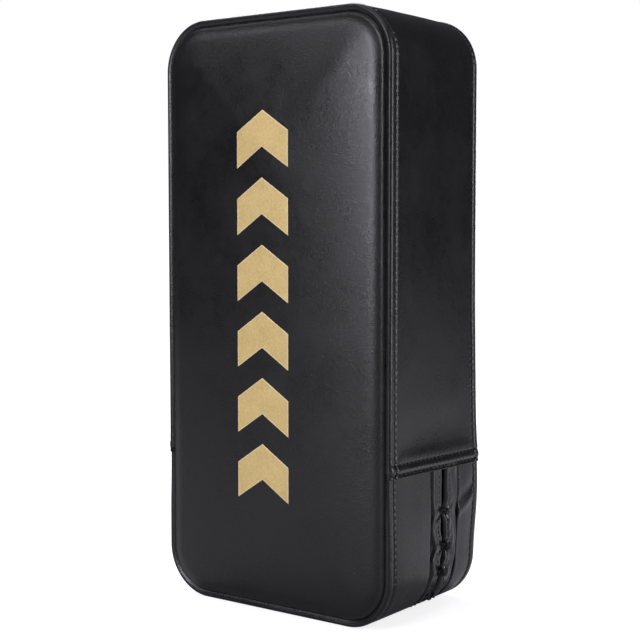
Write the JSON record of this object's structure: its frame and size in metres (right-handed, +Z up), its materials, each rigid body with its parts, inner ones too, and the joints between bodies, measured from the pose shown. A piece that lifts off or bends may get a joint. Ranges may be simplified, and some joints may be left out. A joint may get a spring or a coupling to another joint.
{
  "type": "kick shield",
  "caption": "Stuffed rectangular strike pad in a sewn synthetic-leather cover, laced at its base, with a padded grip and ringed forearm straps on the back.",
  "frame": {"origin": "under the middle of the object's bounding box, at its base", "axes": "+X across the pad, -Y out of the strike face, +Y out of the back with the grip and straps, +Z up from the laced end"},
  "size_m": [0.1904, 0.1722, 0.4],
  "materials": {
    "shell_leather": "satin",
    "lip_leather": "satin",
    "lining_fabric": "matte",
    "tie_cord": "satin",
    "gold_print": "satin",
    "dense_foam": "matte",
    "core_foam": "matte",
    "webbing": "matte",
    "grip_leather": "satin",
    "patch_leather": "satin",
    "nickel_steel": "polished",
    "loop_tape": "matte",
    "hook_tape": "matte"
  },
  "bodies": {
    "root": {"front_panel": "shell_leather", "back_panel": "shell_leather", "upper_gusset": "shell_leather", "lower_gusset_front": "shell_leather", "lower_gusset_rear": "shell_leather", "closure_lip_front": "lip_leather", "closure_lip_rear": "lip_leather", "closure_underflap": "lining_fabric", "closure_ties": "tie_cord", "front_print": "gold_print", "strike_foam": "dense_foam", "core_foam": "core_foam", "back_foam": "dense_foam", "grip_webbing": "webbing", "grip_foam": "dense_foam", "grip_sleeve": "grip_leather", "grip_patch_left": "patch_leather", "grip_patch_right": "patch_leather", "grip_rivets": "nickel_steel", "upper_strap": "webbing", "upper_strap_loop_tape": "loop_tape", "upper_ring_tab": "webbing", "upper_strap_patch": "patch_leather", "upper_tab_patch": "patch_leather", "lower_strap": "webbing", "lower_strap_loop_tape": "loop_tape", "lower_ring_tab": "webbing", "lower_strap_patch": "patch_leather", "lower_tab_patch": "patch_leather"},
    "upper_flap": {"upper_strap_flap": "webbing", "upper_strap_hook_tape": "hook_tape"},
    "upper_ring": {"upper_ring": "nickel_steel"},
    "lower_flap": {"lower_strap_flap": "webbing", "lower_strap_hook_tape": "hook_tape"},
    "lower_ring": {"lower_ring": "nickel_steel"}
  },
  "joints": [
    {"name": "upper_flap_hinge", "type": "hinge", "parent": "root", "child": "upper_flap", "pos_m": [-0.05571, 0.05382, 0.212], "axis": [0, 0, 1], "range_deg": [0, 150]},
    {"name": "upper_ring_rock", "type": "hinge", "parent": "root", "child": "upper_ring", "pos_m": [-0.05693, 0.03527, 0.212], "axis": [0, 0, 1], "range_deg": [-3, 3]},
    {"name": "lower_flap_hinge", "type": "hinge", "parent": "root", "child": "lower_flap", "pos_m": [-0.05571, 0.05382, 0.092], "axis": [0, 0, 1], "range_deg": [0, 150]},
    {"name": "lower_ring_rock", "type": "hinge", "parent": "root", "child": "lower_ring", "pos_m": [-0.05693, 0.03527, 0.092], "axis": [0, 0, 1], "range_deg": [-3, 3]}
  ]
}
